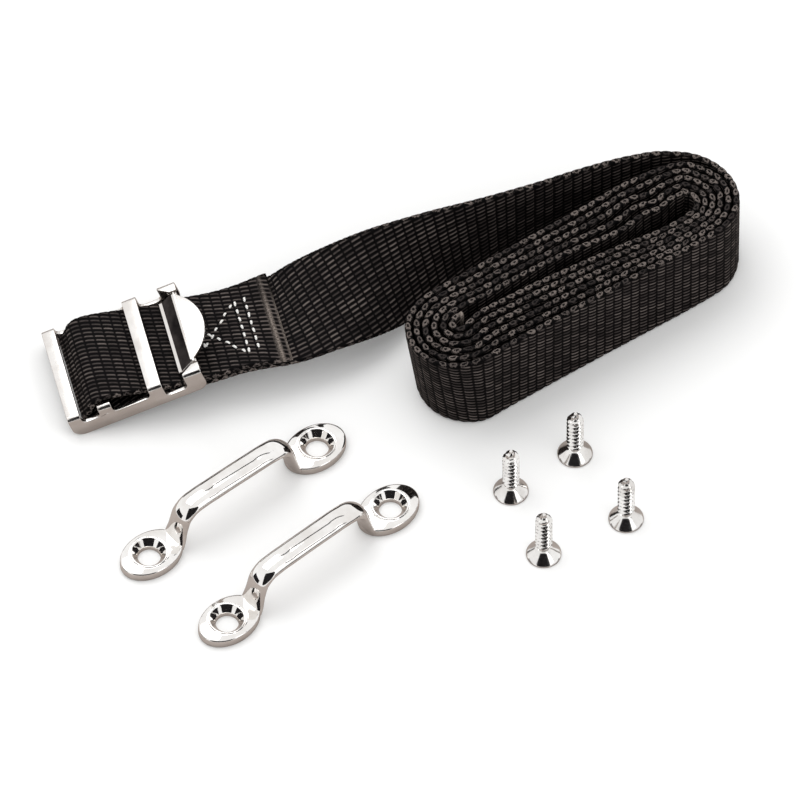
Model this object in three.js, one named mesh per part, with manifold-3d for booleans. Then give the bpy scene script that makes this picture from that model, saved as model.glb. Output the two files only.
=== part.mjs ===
// Tank hold-down strap kit, laid out on a flat surface: a one-inch webbing strap with a stamped
// cam buckle, coiled on its edge, two footman's loops and the four countersunk screws that fix them.
// Units are millimetres, +Z is up, +X runs to the right of the layout and +Y away from the viewer.
import * as THREE from 'three';
import { mergeVertices } from 'three/addons/utils/BufferGeometryUtils.js';
import Module from 'manifold-3d';

const wasm = await Module();
wasm.setup();

// ---- Driving dimensions -------------------------------------------------------------------

const WEB_WIDTH = 25;
const WEB_THICK = 1.6;
const SEWN_END = 30;           // distance from the buckle's middle bar to the cut end
const GAP = 0.3;

// Seam thread: it lies on the sewn end, whose top climbs at this slope from this height at x = 0.
const SEAM = { width: 0.8, height: 0.35, surface: 9.72, slope: 0.0993 };

// Buckle: a sheet-metal channel, open downward, that lies on its left end and pitches up.
const BUCKLE_AT = { x: -59.33, y: 7.95, z: 5.74 };
const BUCKLE_HEADING = THREE.MathUtils.degToRad(13.8);
const BUCKLE_PITCH = THREE.MathUtils.degToRad(17);
const SHEET = 1.0;
const FRAME_HEIGHT = 7.2;
const FRAME_HALF_WIDTH = 13.8;
const FRAME_LEFT = -22.2;
const FRAME_RIGHT = 11.7;
const FRAME_BEND = { outer: 1.3, inner: 0.3 };
const FRAME_CORNER = { left: 3.0, right: 2.4 };
const NOTCHES = [
  { from: -19.05, to: -14.5, floor: 4.35 },
  { from: -11.2, to: -1.75, floor: 4.2 },
  { from: 1.75, to: 7.2, floor: 2.4 },
];
const NOTCH_CORNER = 1.4;

// Lever: a thumb tab and a gripping lip on two cheeks that swing on the cross pin.
const PIN_AT = { u: 10.1, w: 4.1 };
const PIN_RADIUS = 0.8;
const PIN_HALF_LENGTH = 13.15;
const PIN_HOLE_RADIUS = 1.1;
const PIN_POCKET_DEPTH = 0.6;
const CHEEK_RADIUS = 1.6;
const LEVER_SHEET = 0.9;
const LEVER_HALF_WIDTH = 10.4;
const TAB = { chord: 10.75, halfLength: 9.8, radius: 11.8, bottom: 6.6 };
const SPRING = { wire: 0.15, radius: 1.15, turns: 4, pitch: 0.5, tail: 8.8 };

// Footman's loops: two countersunk pads joined by a raised bar.
const LOOP = { holeSpacing: 50.8, padCentre: 24.7, padLength: 16.6, padWidth: 11.8, padThick: 3.0 };
const LOOP_HOLE = { radius: 2.75, sinkRadius: 4.3, sinkDepth: 1.8 };
const LOOP_BAR = { halfWidth: 3.0, halfThick: 1.6, flare: 1.2 };
const LOOPS_AT = [
  { x: -39.4, y: -30.7, heading: 38.8 },
  { x: -21.5, y: -49.3, heading: 40.8 },
];

// Screws: countersunk self-tapping screws standing on their heads.
const SCREW = { headRadius: 4.2, rim: 0.4, headDepth: 2.6, rootRadius: 1.5, crestRadius: 2.08 };
const SCREW_THREAD = { pitch: 1.41, ridges: 9, length: 16 };
const SCREWS_AT = [[26.2, -26.8], [41.4, -15.8], [53.4, -34.9], [33.9, -45.1]];

// Coil: the rest of the strap wound flat into a long coil that stands on its edge.
const COIL_AT = { x: 23.7, y: -4.5, heading: THREE.MathUtils.degToRad(34.4) };
const COIL = { leftX: -2.4, leftRadius: 12.4, rightX: 62.3, rightRadius: 12.9 };
const COIL_ENTRY = { x: 59.2, y: 12.9, radius: 16.0, angle: THREE.MathUtils.degToRad(55) };

// Centre line of the webbing between the sewn end and the coil, with the roll of its width from
// lying flat (0) to standing on edge (90), in degrees.
const RUN = [
  { x: -20, y: 18.5, z: 12.6, roll: 15 },
  { x: -10, y: 23.4, z: 12.8, roll: 31 },
  { x: 0, y: 29.2, z: 12.0, roll: 53 },
  { x: 10, y: 34.6, z: 12.2, roll: 70 },
  { x: 20, y: 39.5, z: 12.5, roll: 82 },
  { x: 32, y: 45.1, z: 12.5, roll: 89 },
  { x: 44, y: 50.0, z: 12.5, roll: 90 },
  { x: 55, y: 53.5, z: 12.5, roll: 90 },
  { x: 61, y: 54.7, z: 12.5, roll: 90 },
];

// ---- Materials ----------------------------------------------------------------------------

const chrome = () => new THREE.MeshStandardMaterial({ color: 0xd8d8d5, roughness: 0.15, metalness: 1 });
const zinc = () => new THREE.MeshStandardMaterial({ color: 0xc9c8c2, roughness: 0.28, metalness: 1 });
const webbing = () => new THREE.MeshStandardMaterial({ color: 0x1a1512, roughness: 0.85, metalness: 0 });
const thread = () => new THREE.MeshStandardMaterial({ color: 0xe6e3da, roughness: 0.7, metalness: 0 });

// ---- Geometry helpers ---------------------------------------------------------------------

// Profile drawn in (x, z) and extruded across, from y = from to y = to.
function extrudeAcross(shape, from, to, curveSegments = 8) {
  const geometry = new THREE.ExtrudeGeometry(shape, { depth: to - from, bevelEnabled: false, curveSegments });
  return geometry.rotateX(Math.PI / 2).translate(0, to, 0);
}

// Section drawn in (y, z) and extruded along, from x = from to x = to.
function extrudeAlong(shape, from, to, curveSegments = 6) {
  const geometry = new THREE.ExtrudeGeometry(shape, { depth: to - from, bevelEnabled: false, curveSegments });
  const basis = new THREE.Matrix4().makeBasis(
    new THREE.Vector3(0, 1, 0), new THREE.Vector3(0, 0, 1), new THREE.Vector3(1, 0, 0));
  return geometry.applyMatrix4(basis).translate(from, 0, 0);
}

// Plan outline drawn in (x, y) and extruded up, from z = from to z = to.
function extrudeUp(shape, from, to, curveSegments = 12) {
  const geometry = new THREE.ExtrudeGeometry(shape, { depth: to - from, bevelEnabled: false, curveSegments });
  return geometry.translate(0, 0, from);
}

function polygon(points) {
  return new THREE.Shape(points.map(([x, y]) => new THREE.Vector2(x, y)));
}

// Round bar between two values of y, centred on (x, z).
function crossBar(x, z, radius, from, to, sides) {
  const geometry = new THREE.CylinderGeometry(radius, radius, to - from, sides);
  return geometry.translate(x, (from + to) / 2, z);
}

// Solid of revolution about the vertical axis from a profile of (radius, height) points.
function turned(profile, sides) {
  const points = profile.map(([radius, height]) => new THREE.Vector2(radius, height));
  return new THREE.LatheGeometry(points, sides).rotateX(Math.PI / 2);
}

// Closed solid through a row of rings, each listed anticlockwise about the direction of travel.
function loft(rings) {
  const sides = rings[0].length;
  const positions = rings.flat().flatMap((point) => [point.x, point.y, point.z]);
  const index = [];
  for (let i = 0; i + 1 < rings.length; i += 1) {
    for (let j = 0; j < sides; j += 1) {
      const a = i * sides + j;
      const b = i * sides + (j + 1) % sides;
      index.push(a, b, b + sides, a, b + sides, a + sides);
    }
  }
  const last = (rings.length - 1) * sides;
  for (let j = 1; j + 1 < sides; j += 1) {
    index.push(0, j + 1, j);
    index.push(last, last + j, last + j + 1);
  }
  const geometry = new THREE.BufferGeometry();
  geometry.setAttribute('position', new THREE.Float32BufferAttribute(positions, 3));
  geometry.setIndex(index);
  return geometry;
}

function toSolid(geometry) {
  const bare = geometry.clone();
  bare.deleteAttribute('normal');
  bare.deleteAttribute('uv');
  const merged = mergeVertices(bare, 1e-4);
  return new wasm.Manifold(new wasm.Mesh({
    numProp: 3,
    vertProperties: new Float32Array(merged.attributes.position.array),
    triVerts: new Uint32Array(merged.index.array),
  }));
}

function fromSolid(solid) {
  const { vertProperties, triVerts } = solid.getMesh();
  const geometry = new THREE.BufferGeometry();
  geometry.setAttribute('position', new THREE.Float32BufferAttribute(vertProperties, 3));
  geometry.setIndex(new THREE.Uint32BufferAttribute(triVerts, 1));
  geometry.computeVertexNormals();
  return geometry;
}

function join(geometries) {
  return geometries.map(toSolid).reduce((whole, piece) => whole.add(piece));
}

function part(name, solid, material) {
  const mesh = new THREE.Mesh(fromSolid(solid), material);
  mesh.name = name;
  return mesh;
}

// ---- Buckle frame -------------------------------------------------------------------------

// Section of the channel in (v, w): two walls and a top, bent from one sheet.
function channelSection() {
  const { outer: bendOut, inner: bendIn } = FRAME_BEND;
  const outside = FRAME_HALF_WIDTH;
  const inside = outside - SHEET;
  const under = FRAME_HEIGHT - SHEET;
  const shape = new THREE.Shape();
  shape.moveTo(-outside, 0);
  shape.lineTo(-inside, 0);
  shape.absarc(-inside + bendIn, under - bendIn, bendIn, Math.PI, Math.PI / 2, true);
  shape.absarc(inside - bendIn, under - bendIn, bendIn, Math.PI / 2, 0, true);
  shape.lineTo(inside, 0);
  shape.lineTo(outside, 0);
  shape.absarc(outside - bendOut, FRAME_HEIGHT - bendOut, bendOut, 0, Math.PI / 2, false);
  shape.absarc(-outside + bendOut, FRAME_HEIGHT - bendOut, bendOut, Math.PI / 2, Math.PI, false);
  shape.closePath();
  return shape;
}

// Side outline of the walls in (u, w), with the two lower corners rounded.
function wallOutline() {
  const { left, right } = FRAME_CORNER;
  const shape = new THREE.Shape();
  shape.moveTo(FRAME_LEFT, FRAME_HEIGHT + 1);
  shape.lineTo(FRAME_LEFT, left);
  shape.absarc(FRAME_LEFT + left, left, left, Math.PI, 1.5 * Math.PI, false);
  shape.absarc(FRAME_RIGHT - right, right, right, -Math.PI / 2, 0, false);
  shape.lineTo(FRAME_RIGHT, FRAME_HEIGHT + 1);
  shape.closePath();
  return shape;
}

// A notch that opens the top sheet and bites into both walls, with rounded lower corners.
function notchOutline({ from, to, floor }) {
  const r = NOTCH_CORNER;
  const shape = new THREE.Shape();
  shape.moveTo(from, FRAME_HEIGHT + 1);
  shape.lineTo(from, floor + r);
  shape.absarc(from + r, floor + r, r, Math.PI, 1.5 * Math.PI, false);
  shape.absarc(to - r, floor + r, r, -Math.PI / 2, 0, false);
  shape.lineTo(to, FRAME_HEIGHT + 1);
  shape.closePath();
  return shape;
}

function buckleFrame() {
  const width = FRAME_HALF_WIDTH + 1;
  let solid = toSolid(extrudeAlong(channelSection(), FRAME_LEFT, FRAME_RIGHT));
  solid = solid.intersect(toSolid(extrudeAcross(wallOutline(), -width, width)));
  for (const notch of NOTCHES) {
    solid = solid.subtract(toSolid(extrudeAcross(notchOutline(notch), -width, width, 4)));
  }
  // The lever's opening leaves a small inward flange at the top of each ear.
  const mouth = polygon([[7.1, -12.75], [7.2, -12.75], [10, -10.9], [13, -10.9],
    [13, 10.9], [10, 10.9], [7.2, 12.75], [7.1, 12.75]]);
  solid = solid.subtract(toSolid(extrudeUp(mouth, FRAME_HEIGHT - SHEET - 0.5, FRAME_HEIGHT + 1)));
  const pocketEnd = FRAME_HALF_WIDTH - SHEET + PIN_POCKET_DEPTH;
  const pockets = crossBar(PIN_AT.u, PIN_AT.w, PIN_HOLE_RADIUS, -pocketEnd, pocketEnd, 16);
  return solid.subtract(toSolid(pockets));
}

// ---- Buckle lever, pin and spring ---------------------------------------------------------

function tabOutline() {
  const { chord, halfLength, radius } = TAB;
  const spread = Math.asin(halfLength / radius);
  const centre = chord - radius * Math.cos(spread);
  const shape = new THREE.Shape();
  shape.moveTo(chord - 0.6, -halfLength);
  shape.lineTo(chord, -halfLength);
  shape.absarc(centre, 0, radius, -spread, spread, false);
  shape.lineTo(chord - 0.6, halfLength);
  shape.closePath();
  return shape;
}

function cheekOutline() {
  const { u, w } = PIN_AT;
  const shape = new THREE.Shape();
  shape.moveTo(7.9, 4.9);
  shape.lineTo(9.0, 2.95);
  shape.absarc(u, w, CHEEK_RADIUS, 1.26 * Math.PI, 1.9 * Math.PI, false);
  shape.lineTo(11.5, 6.9);
  shape.lineTo(10.6, 7.2);
  shape.closePath();
  return shape;
}

function buckleLever() {
  const half = LEVER_HALF_WIDTH;
  const tab = extrudeUp(tabOutline(), TAB.bottom, TAB.bottom + LEVER_SHEET, 20);
  const face = extrudeAcross(polygon([[11.1, 7.5], [10.6, 7.5], [7.2, 4.95], [6.3, 4.85],
    [6.3, 4.0], [7.5, 4.05], [11.1, 6.6]]), -half, half);
  const cheeks = [-1, 1].map((side) => {
    const middle = side * (half - LEVER_SHEET / 2);
    return extrudeAcross(cheekOutline(), middle - LEVER_SHEET / 2, middle + LEVER_SHEET / 2);
  });
  let solid = join([tab, face, ...cheeks]);
  for (let v = -9; v <= 9; v += 2) {
    const valley = polygon([[v - 0.55, 3.9], [v + 0.55, 3.9], [v, 4.6]]);
    solid = solid.subtract(toSolid(extrudeAlong(valley, 6, 7)));
  }
  return solid.subtract(toSolid(crossBar(PIN_AT.u, PIN_AT.w, PIN_HOLE_RADIUS, -half - 1, half + 1, 16)));
}

// Torsion spring round the pin: one leg reaches under the thumb tab, the other lies along the pin.
function leverSpring() {
  const { wire, radius, turns, pitch, tail } = SPRING;
  const { u, w } = PIN_AT;
  const points = [new THREE.Vector3(14.2, -0.4, 6.05), new THREE.Vector3(12.4, -0.4, 5.85)];
  const steps = turns * 10;
  const start = Math.PI / 2;
  for (let i = 0; i <= steps; i += 1) {
    const angle = start + 2 * Math.PI * turns * i / steps;
    const along = pitch * turns * i / steps;
    points.push(new THREE.Vector3(u + radius * Math.cos(angle), along, w + radius * Math.sin(angle)));
  }
  const end = points[points.length - 1];
  points.push(new THREE.Vector3(end.x - 0.35, end.y + 0.6, end.z - 0.05));
  points.push(new THREE.Vector3(end.x - 0.35, tail, end.z - 0.05));
  const path = new THREE.CatmullRomCurve3(points, false, 'centripetal');
  const section = new THREE.Shape();
  section.absarc(0, 0, wire, 0, 2 * Math.PI, false);
  return toSolid(new THREE.ExtrudeGeometry(section, {
    steps: 76, curveSegments: 3, extrudePath: path, bevelEnabled: false,
  }));
}

// ---- Webbing ------------------------------------------------------------------------------

// Side profile of the sewn end: the webbing passes round the anchor bar in a slack loop and is doubled
// back under itself, so the outline is two layers thick with an open eye for the bar at its left end.
function strapEndProfile() {
  const through = (points) => points.map(([x, z]) => new THREE.Vector2(x, z));
  const shape = new THREE.Shape();
  shape.moveTo(SEWN_END, 9.55);
  shape.splineThru(through([[20, 8.25], [11, 7.35], [5, 7.05], [-3, 6.1], [-8, 4.4], [-12, 2.85],
    [-15.3, 1.6], [-18.2, 1.05], [-20.0, 1.9], [-20.1, 3.2], [-19.25, 5.2], [-18.6, 7.2],
    [-17.9, 9.2], [-15.9, 10.8], [-13, 11.3], [-10.5, 11.25], [-6.6, 10.95], [-3, 10.5], [5, 10.45],
    [11, 10.65], [20, 11.55], [SEWN_END, 12.85]]));
  shape.closePath();
  const eye = new THREE.Path();
  eye.moveTo(-11, 9.75);
  eye.splineThru(through([[-13.2, 9.82], [-15.4, 9.4], [-16.75, 8.4], [-17.3, 6.9], [-17.9, 4.9],
    [-18.5, 3.5], [-18.2, 2.75], [-16.6, 3.0], [-12.3, 4.5], [-8.6, 6.0], [-6, 7.5], [-5.2, 8.5],
    [-7.5, 9.3], [-11, 9.75]]));
  shape.holes.push(eye);
  return shape;
}

function strapEnd() {
  return toSolid(extrudeAcross(strapEndProfile(), -WEB_WIDTH / 2, WEB_WIDTH / 2, 3));
}

// Box of thread lying just above the doubled webbing: an end row, and a diagonal cross between
// the inner row and the row beside the buckle.
function stitching() {
  const { width, height } = SEAM;
  const rows = [
    [24.8, 7.9, 24.8, -7.9], [24.8, 7.9, 22.8, 7.9], [24.8, -7.9, 22.8, -7.9],
    [22.8, 7.9, 22.8, -8.8], [22.8, 7.7, 8.5, -8], [22.8, -8.8, 8.5, 8], [8.5, 8, 8.5, -8],
  ];
  return join(rows.map(([x0, y0, x1, y1]) => {
    const length = Math.hypot(x1 - x0, y1 - y0);
    const bar = new THREE.BoxGeometry(length + width, width, height);
    bar.rotateZ(Math.atan2(y1 - y0, x1 - x0));
    return bar.translate((x0 + x1) / 2, (y0 + y1) / 2, 0);
  }));
}

// Outline of the coil in its own plan: a flat front and back, a round end at the left, and at the
// right a tighter and a wider arc, because the incoming webbing winds inward there.
function coilOutline() {
  const { leftX, leftRadius, rightX, rightRadius } = COIL;
  const entry = COIL_ENTRY;
  const inner = entry.radius - WEB_THICK - GAP;
  const shape = new THREE.Shape();
  shape.moveTo(leftX, 0);
  shape.absarc(rightX, rightRadius, rightRadius, -Math.PI / 2, 0, false);
  shape.absarc(entry.x, entry.y, entry.radius, 0, entry.angle, false);
  shape.lineTo(entry.x + inner * Math.cos(entry.angle), entry.y + inner * Math.sin(entry.angle));
  shape.absarc(leftX, leftRadius, leftRadius, Math.PI / 2, 1.5 * Math.PI, false);
  return shape;
}

function strapCoil() {
  return toSolid(extrudeUp(coilOutline(), 0, WEB_WIDTH, 14));
}

// The run starts square to the sewn end, level with its lower layer, and its last knot lies where
// the coil's outline takes over, each with one gap to its neighbour.
function runKnots() {
  const head = (along, z, roll) => ({
    x: BUCKLE_AT.x + along * Math.cos(BUCKLE_HEADING),
    y: BUCKLE_AT.y + along * Math.sin(BUCKLE_HEADING),
    z,
    roll,
  });
  const start = [head(SEWN_END + GAP + 0.2, 10.4, 0), head(SEWN_END + 2.5, 10.7, 0.5)];
  const { x, y, radius, angle } = COIL_ENTRY;
  const middle = radius - WEB_THICK / 2;
  const s = x + middle * Math.cos(angle) - GAP * Math.sin(angle);
  const d = y + middle * Math.sin(angle) + GAP * Math.cos(angle);
  const cos = Math.cos(COIL_AT.heading);
  const sin = Math.sin(COIL_AT.heading);
  const end = { x: COIL_AT.x + cos * s - sin * d, y: COIL_AT.y + sin * s + cos * d };
  return [...start, ...RUN, { ...end, z: WEB_WIDTH / 2, roll: 90 }];
}

// Webbing that leaves the sewn end lying flat and turns up on its edge as it reaches the coil.
function strapRun() {
  const knots = runKnots();
  const half = { width: WEB_WIDTH / 2, thick: WEB_THICK / 2 };
  const route = new THREE.CatmullRomCurve3(knots.map((k) => new THREE.Vector3(k.x, k.y, k.z)));
  const rolls = new THREE.SplineCurve(knots.map((k, i) => new THREE.Vector2(i, k.roll)));
  const steps = 44;
  const columns = 4;
  const rings = [];
  for (let i = 0; i <= steps; i += 1) {
    const t = i / steps;
    const roll = THREE.MathUtils.degToRad(Math.min(rolls.getPoint(t).y, 90));
    const centre = route.getPoint(t);
    const lowest = half.width * Math.sin(roll) + half.thick * Math.cos(roll);
    centre.z = Math.max(centre.z, lowest);
    const travel = route.getTangent(t);
    const level = new THREE.Vector3(-travel.y, travel.x, 0).normalize();
    const across = level.multiplyScalar(Math.cos(roll)).add(new THREE.Vector3(0, 0, Math.sin(roll)));
    const through = travel.clone().cross(across).normalize();
    const at = (w, m) => centre.clone().addScaledVector(across, w).addScaledVector(through, m);
    const ring = [];
    for (let j = 0; j <= columns; j += 1) ring.push(at(half.width * (1 - 2 * j / columns), half.thick));
    for (let j = columns; j >= 0; j -= 1) ring.push(at(half.width * (1 - 2 * j / columns), -half.thick));
    rings.push(ring);
  }
  return toSolid(loft(rings));
}

// ---- Footman's loop -----------------------------------------------------------------------

// One ring of an ellipse in the plane spanned by the loop's cross direction and its own normal.
function barRing(centre, travel, halfWidth, halfThick, sides = 12) {
  const across = new THREE.Vector3(0, 1, 0);
  const normal = travel.clone().cross(across);
  const ring = [];
  for (let j = 0; j < sides; j += 1) {
    const angle = 2 * Math.PI * (j + 0.5) / sides;
    ring.push(centre.clone()
      .addScaledVector(across, halfWidth * Math.cos(angle))
      .addScaledVector(normal, halfThick * Math.sin(angle)));
  }
  return ring;
}

// Raised bar: it rises out of one pad, turns level and comes down into the other.
function loopBar() {
  const rise = [[19.8, 1.75], [17.9, 2.1], [16.5, 4.0], [16.0, 6.6], [15.0, 9.6], [12.0, 11.3], [6, 11.6]];
  const left = rise.map(([x, z]) => new THREE.Vector3(-x, 0, z));
  const right = rise.map(([x, z]) => new THREE.Vector3(x, 0, z)).reverse();
  const path = new THREE.CatmullRomCurve3([...left, ...right]);
  const steps = 30;
  const rings = [];
  for (let i = 0; i <= steps; i += 1) {
    const t = i / steps;
    const nearFoot = Math.max(0, Math.abs(2 * t - 1) - 0.72) / 0.28;
    const widen = 1 + (LOOP_BAR.flare - 1) * nearFoot;
    const { halfWidth, halfThick } = LOOP_BAR;
    rings.push(barRing(path.getPoint(t), path.getTangent(t), halfWidth * widen, halfThick));
  }
  return loft(rings);
}

function ellipseRing(cx, a, b, z, sides = 32) {
  return Array.from({ length: sides }, (_, j) => {
    const angle = 2 * Math.PI * j / sides;
    return new THREE.Vector3(cx + a * Math.cos(angle), b * Math.sin(angle), z);
  });
}

function footmanLoop() {
  const { holeSpacing, padCentre, padLength, padWidth, padThick } = LOOP;
  const { radius, sinkRadius, sinkDepth } = LOOP_HOLE;
  const [a, b] = [padLength / 2, padWidth / 2];
  const pads = [-1, 1].map((side) => loft([
    ellipseRing(side * padCentre, a - 1, b - 1, 0),
    ellipseRing(side * padCentre, a, b, padThick * 0.35),
    ellipseRing(side * padCentre, a, b, padThick * 0.65),
    ellipseRing(side * padCentre, a - 1, b - 1, padThick),
  ]));
  let solid = join([loopBar(), ...pads]);
  for (const side of [-1, 1]) {
    const hole = turned([[0, -1], [radius, -1], [radius, padThick - sinkDepth],
      [sinkRadius, padThick], [sinkRadius, padThick + 2], [0, padThick + 2]], 20);
    hole.translate(side * holeSpacing / 2, 0, 0);
    solid = solid.subtract(toSolid(hole));
  }
  return solid;
}

// ---- Screw --------------------------------------------------------------------------------

function screw() {
  const { headRadius, rim, headDepth, rootRadius, crestRadius } = SCREW;
  const { pitch, ridges, length } = SCREW_THREAD;
  const profile = [[0, 0], [headRadius - 0.1, 0], [headRadius, 0.1], [headRadius, rim]];
  profile.push([crestRadius, headDepth]);
  for (let i = 0; i < ridges; i += 1) {
    const z = headDepth + 0.3 + pitch * i;
    const taper = i === ridges - 1 ? 0.8 : 1;
    profile.push([rootRadius, z], [rootRadius, z + 0.35 * pitch]);
    profile.push([crestRadius * taper, z + 0.6 * pitch], [crestRadius * taper, z + 0.72 * pitch]);
  }
  profile.push([rootRadius * 0.7, length - 0.25], [0, length]);
  const body = toSolid(turned(profile, 14));
  const slot = [0, Math.PI / 2].map((turn) => new THREE.BoxGeometry(4.4, 1, 3.6).rotateZ(turn));
  return body.subtract(join(slot));
}

// ---- Assembly -----------------------------------------------------------------------------

const kit = new THREE.Group();

// Sewn end and buckle share one heading; the buckle also pitches about its cross direction.
const strapHead = new THREE.Group();
strapHead.position.set(BUCKLE_AT.x, BUCKLE_AT.y, 0);
strapHead.rotation.z = BUCKLE_HEADING;
strapHead.add(part('strap_end', strapEnd(), webbing()));
const seam = part('stitching', stitching(), thread());
seam.rotation.y = -SEAM.slope;
seam.position.set(0, 0, SEAM.surface + SEAM.height / 2 + GAP);
strapHead.add(seam);

const buckle = new THREE.Group();
buckle.position.z = BUCKLE_AT.z;
buckle.rotation.y = -BUCKLE_PITCH;
buckle.add(part('buckle_frame', buckleFrame(), chrome()));
buckle.add(part('buckle_lever', buckleLever(), chrome()));
const pin = crossBar(PIN_AT.u, PIN_AT.w, PIN_RADIUS, -PIN_HALF_LENGTH, PIN_HALF_LENGTH, 16);
buckle.add(part('lever_pin', toSolid(pin), zinc()));
buckle.add(part('lever_spring', leverSpring(), zinc()));
strapHead.add(buckle);
kit.add(strapHead);

kit.add(part('strap_run', strapRun(), webbing()));

const coil = part('strap_coil', strapCoil(), webbing());
coil.position.set(COIL_AT.x, COIL_AT.y, 0);
coil.rotation.z = COIL_AT.heading;
kit.add(coil);

LOOPS_AT.forEach(({ x, y, heading }, i) => {
  const loop = part(`footman_loop_${i + 1}`, footmanLoop(), chrome());
  loop.position.set(x, y, 0);
  loop.rotation.z = THREE.MathUtils.degToRad(heading);
  kit.add(loop);
});

SCREWS_AT.forEach(([x, y], i) => {
  const piece = part(`screw_${i + 1}`, screw(), zinc());
  piece.position.set(x, y, 0);
  kit.add(piece);
});

// The origin is the centre of the layout's footprint, on the surface it lies on.
kit.updateMatrixWorld(true);
const extent = new THREE.Box3().setFromObject(kit, true);
const middle = extent.getCenter(new THREE.Vector3());
kit.position.set(-middle.x, -middle.y, -extent.min.z);

export default kit;
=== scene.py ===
"""Looks of the tank hold-down strap kit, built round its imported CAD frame.
"""

import math

import bmesh
import bpy
import numpy as np
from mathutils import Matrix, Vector


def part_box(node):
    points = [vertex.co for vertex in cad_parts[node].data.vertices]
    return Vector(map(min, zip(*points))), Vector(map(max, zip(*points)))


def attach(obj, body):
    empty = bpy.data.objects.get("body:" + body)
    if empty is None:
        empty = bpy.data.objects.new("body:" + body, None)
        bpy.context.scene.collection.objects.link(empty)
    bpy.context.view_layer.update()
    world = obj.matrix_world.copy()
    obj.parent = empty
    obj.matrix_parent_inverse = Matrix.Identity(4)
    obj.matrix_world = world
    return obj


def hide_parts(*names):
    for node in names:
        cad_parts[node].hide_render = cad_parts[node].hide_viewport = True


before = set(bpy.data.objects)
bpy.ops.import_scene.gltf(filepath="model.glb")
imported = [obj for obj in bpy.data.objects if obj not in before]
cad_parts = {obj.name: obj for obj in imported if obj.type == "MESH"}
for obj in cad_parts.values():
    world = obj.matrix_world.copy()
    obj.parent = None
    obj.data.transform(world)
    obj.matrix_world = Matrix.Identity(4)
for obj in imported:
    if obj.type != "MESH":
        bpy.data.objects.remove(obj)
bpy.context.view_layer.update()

# ---- Driving dimensions, in millimetres and degrees ---------------------------------------------

MM = 0.001
FIRST_SCREW = (26.2, -26.8)
WEB_WIDTH = 25.0
RIB = 2.45                 # length of one float of the weave, along the strap
ROWS = 20                  # floats across the width
PER_ROW = 3
PER_RIB = 4
STEP = RIB / PER_RIB
EDGE = 0.62                # half the thickness of the bare webbing, and the radius of its edges
FLOAT = 0.24               # how far a float stands out
FACE_HALF = WEB_WIDTH / 2 - EDGE - 0.12
ROW_WIDTH = 2 * FACE_HALF / ROWS
COIL_AT = (23.7, -4.5)
COIL_HEADING = math.radians(34.4)
BUCKLE_AT = (-59.33, 7.95)
BUCKLE_HEIGHT = 5.74
BUCKLE_HEADING = math.radians(13.8)
BUCKLE_PITCH = math.radians(17)
PIN_AT = (10.1, 4.1)
LOOPS_AT = [(-39.4, -30.7, 38.8), (-21.5, -49.3, 40.8)]
SCREWS_AT = [FIRST_SCREW, (41.4, -15.8), (53.4, -34.9), (33.9, -45.1)]

screw_low, screw_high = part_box("screw_1")
LAYOUT_ORIGIN = np.array([
    (screw_low.x + screw_high.x) / 2 - FIRST_SCREW[0] * MM,
    (screw_low.y + screw_high.y) / 2 - FIRST_SCREW[1] * MM,
    screw_low.z,
])


def to_frame(points):
    """Layout millimetres to frame metres."""
    return np.asarray(points, float) * MM + LAYOUT_ORIGIN


# ---- Camera, first, because it settles the framing ----------------------------------------------

CAMERA_ELEVATION = math.radians(53.7)
CAMERA_DISTANCE = 6.32
CAMERA_LENS = 1200
CAMERA_SENSOR = 36


def make_camera():
    data = bpy.data.cameras.new("studio_camera")
    data.lens = CAMERA_LENS
    data.sensor_width = CAMERA_SENSOR
    data.clip_start = 1
    data.clip_end = 20
    camera = bpy.data.objects.new("studio_camera", data)
    bpy.context.scene.collection.objects.link(camera)
    back = Vector((0, -math.cos(CAMERA_ELEVATION), math.sin(CAMERA_ELEVATION)))
    target = Vector(to_frame((0, 0, 0)))
    camera.location = target + back * CAMERA_DISTANCE
    camera.rotation_euler = (-back).to_track_quat("-Z", "Y").to_euler()
    bpy.context.scene.camera = camera


make_camera()

# ---- Mesh helpers -------------------------------------------------------------------------------


def make_object(name, points, faces, material, smooth_angle=None):
    """A mesh object from layout points. smooth_angle None leaves every edge smooth."""
    mesh = bpy.data.meshes.new(name)
    mesh.from_pydata(to_frame(points).tolist(), [], [list(f) for f in faces])
    mesh.materials.append(material)
    obj = bpy.data.objects.new(name, mesh)
    bpy.context.scene.collection.objects.link(obj)
    face_outward(obj)
    shade(obj, smooth_angle)
    return obj


def face_outward(obj):
    bm = bmesh.new()
    bm.from_mesh(obj.data)
    bmesh.ops.recalc_face_normals(bm, faces=bm.faces)
    bm.to_mesh(obj.data)
    bm.free()


def shade(obj, angle):
    obj.data.shade_smooth()
    if angle is not None:
        obj.data.set_sharp_from_angle(angle=math.radians(angle))


def loft_faces(rings, sides, closed=False):
    """Quads between consecutive rings of equal size, with a flat cap on each end unless closed."""
    faces = []
    for i in range(rings if closed else rings - 1):
        a, b = i * sides, (i + 1) % rings * sides
        faces += [(a + j, a + (j + 1) % sides, b + (j + 1) % sides, b + j) for j in range(sides)]
    if not closed:
        faces.append(tuple(range(sides))[::-1])
        faces.append(tuple((rings - 1) * sides + j for j in range(sides)))
    return faces


def unit(vectors):
    vectors = np.asarray(vectors, float)
    return vectors / np.linalg.norm(vectors, axis=-1, keepdims=True)


def smoothstep(x, low, high):
    t = np.clip((np.asarray(x, float) - low) / (high - low), 0, 1)
    return t * t * (3 - 2 * t)


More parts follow.
